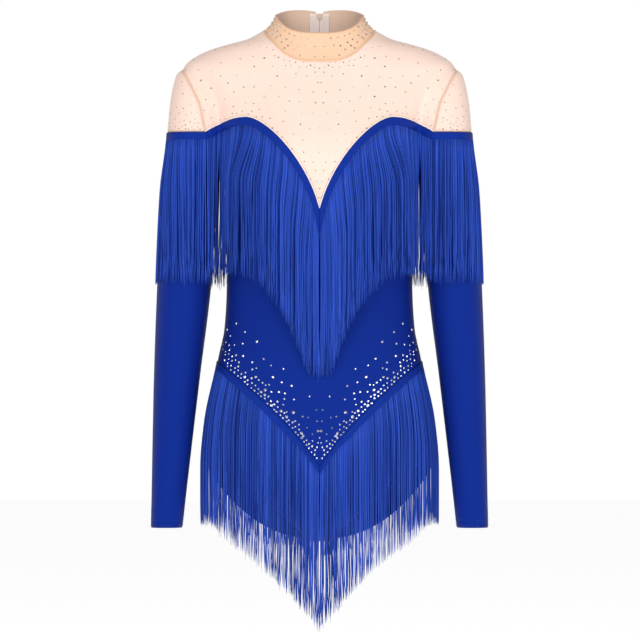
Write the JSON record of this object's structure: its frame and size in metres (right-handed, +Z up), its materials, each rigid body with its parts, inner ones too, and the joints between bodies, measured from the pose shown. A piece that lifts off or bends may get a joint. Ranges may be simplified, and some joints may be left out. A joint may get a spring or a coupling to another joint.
{
  "type": "gymnastics leotard",
  "caption": "Long-sleeved stretch leotard with a nude mesh yoke, mock neck, back zip, fringed sweetheart bust and fringed V hip line.",
  "frame": {"origin": "middle of the neck, level with the high point of the shoulders", "axes": "+Z up, -Y to the garment's front, +X to the wearer's left"},
  "size_m": [0.4324, 0.2258, 0.8068],
  "materials": {
    "blue_knit": "royal blue stretch knit with a soft sheen",
    "nude_mesh": "fine nude stretch mesh",
    "collar_knit": "doubled nude stretch mesh",
    "lining_knit": "matt nude lining knit",
    "fringe_yarn": "shiny royal blue rayon strands",
    "fringe_tape": "woven royal blue header tape",
    "leg_elastic": "flat knitted elastic",
    "zip_tape_cloth": "woven pinkish grey zip tape",
    "zip_coil_nylon": "nylon coil teeth",
    "zip_metal": "plated metal",
    "rhinestone": "foil-backed faceted glass"
  },
  "bodies": {
    "torso": {"collar_outer": "collar_knit", "collar_lining": "lining_knit", "yoke_front": "nude_mesh", "yoke_back_left": "nude_mesh", "yoke_back_right": "nude_mesh", "front_body": "blue_knit", "back_body_left": "blue_knit", "back_body_right": "blue_knit", "crotch_gusset": "lining_knit", "leg_elastic_left": "leg_elastic", "leg_elastic_right": "leg_elastic", "bust_tape_left": "fringe_tape", "bust_tape_right": "fringe_tape", "bust_fringe_left": "fringe_yarn", "bust_fringe_right": "fringe_yarn", "back_tape_left": "fringe_tape", "back_tape_right": "fringe_tape", "back_fringe_left": "fringe_yarn", "back_fringe_right": "fringe_yarn", "hip_tape_front_left": "fringe_tape", "hip_tape_front_right": "fringe_tape", "hip_fringe_front_left": "fringe_yarn", "hip_fringe_front_right": "fringe_yarn", "hip_tape_back_left": "fringe_tape", "hip_tape_back_right": "fringe_tape", "hip_fringe_back_left": "fringe_yarn", "hip_fringe_back_right": "fringe_yarn", "zip_tape_left": "zip_tape_cloth", "zip_tape_right": "zip_tape_cloth", "zip_coil_left": "zip_coil_nylon", "zip_coil_right": "zip_coil_nylon", "zip_top_stop_left": "zip_metal", "zip_top_stop_right": "zip_metal", "zip_bottom_stop": "zip_metal"},
    "sleeve_left": {"sleeve_cap_left": "nude_mesh", "sleeve_left": "blue_knit", "sleeve_tape_left": "fringe_tape", "sleeve_fringe_left": "fringe_yarn"},
    "sleeve_right": {"sleeve_cap_right": "nude_mesh", "sleeve_right": "blue_knit", "sleeve_tape_right": "fringe_tape", "sleeve_fringe_right": "fringe_yarn"},
    "zip_slider": {"zip_slider": "zip_metal"},
    "zip_pull": {"zip_pull": "zip_metal"}
  },
  "joints": [
    {"name": "sleeve_left_raise", "type": "hinge", "parent": "torso", "child": "sleeve_left", "pos_m": [0.177, 0, -0.047], "axis": [0, -1, 0], "range_deg": [0, 75]},
    {"name": "sleeve_right_raise", "type": "hinge", "parent": "torso", "child": "sleeve_right", "pos_m": [-0.177, 0, -0.047], "axis": [0, 1, 0], "range_deg": [0, 75]},
    {"name": "zip_slide", "type": "slide", "parent": "torso", "child": "zip_slider", "axis": [0, 0.0797, -0.9968], "range_m": [0, 0.3]},
    {"name": "zip_pull_swing", "type": "hinge", "parent": "zip_slider", "child": "zip_pull", "pos_m": [0, 0.05985, 0.01323], "axis": [1, 0, 0], "range_deg": [0, 165]}
  ]
}
